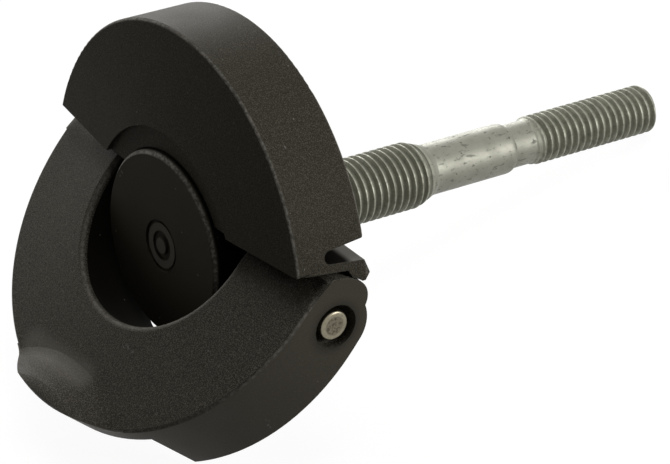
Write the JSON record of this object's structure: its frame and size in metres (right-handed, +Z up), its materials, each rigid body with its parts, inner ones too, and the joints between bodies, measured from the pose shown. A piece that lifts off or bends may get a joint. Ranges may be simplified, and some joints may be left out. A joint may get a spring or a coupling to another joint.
{
  "type": "t-handle screw",
  "caption": "Screw with a round folding T-handle: a plastic knob whose lower half swings out on pins as a grip, and a stepped steel stud with two threads.",
  "frame": {"origin": "on the stud's axis at the hub's rear face, with the screw lying as it comes to rest", "axes": "+X from the knob towards the stud's tip along the floor, +Y along the hinge, +Z up"},
  "size_m": [0.0881, 0.05, 0.0441],
  "materials": {
    "black_plastic": "fine-grained moulded black",
    "pin_steel": "bright nickel",
    "zinc_steel": "dull zinc"
  },
  "bodies": {
    "knob": {"knob_body": "black_plastic", "hinge_pin_right": "pin_steel", "hinge_pin_left": "pin_steel", "threaded_stud": "zinc_steel"},
    "flap": {"flap": "black_plastic"}
  },
  "joints": [
    {"name": "flap_hinge", "type": "hinge", "parent": "knob", "child": "flap", "pos_m": [-0.00914, 0, 0.00219], "axis": [0, 1, 0], "range_deg": [-39, 46]}
  ]
}
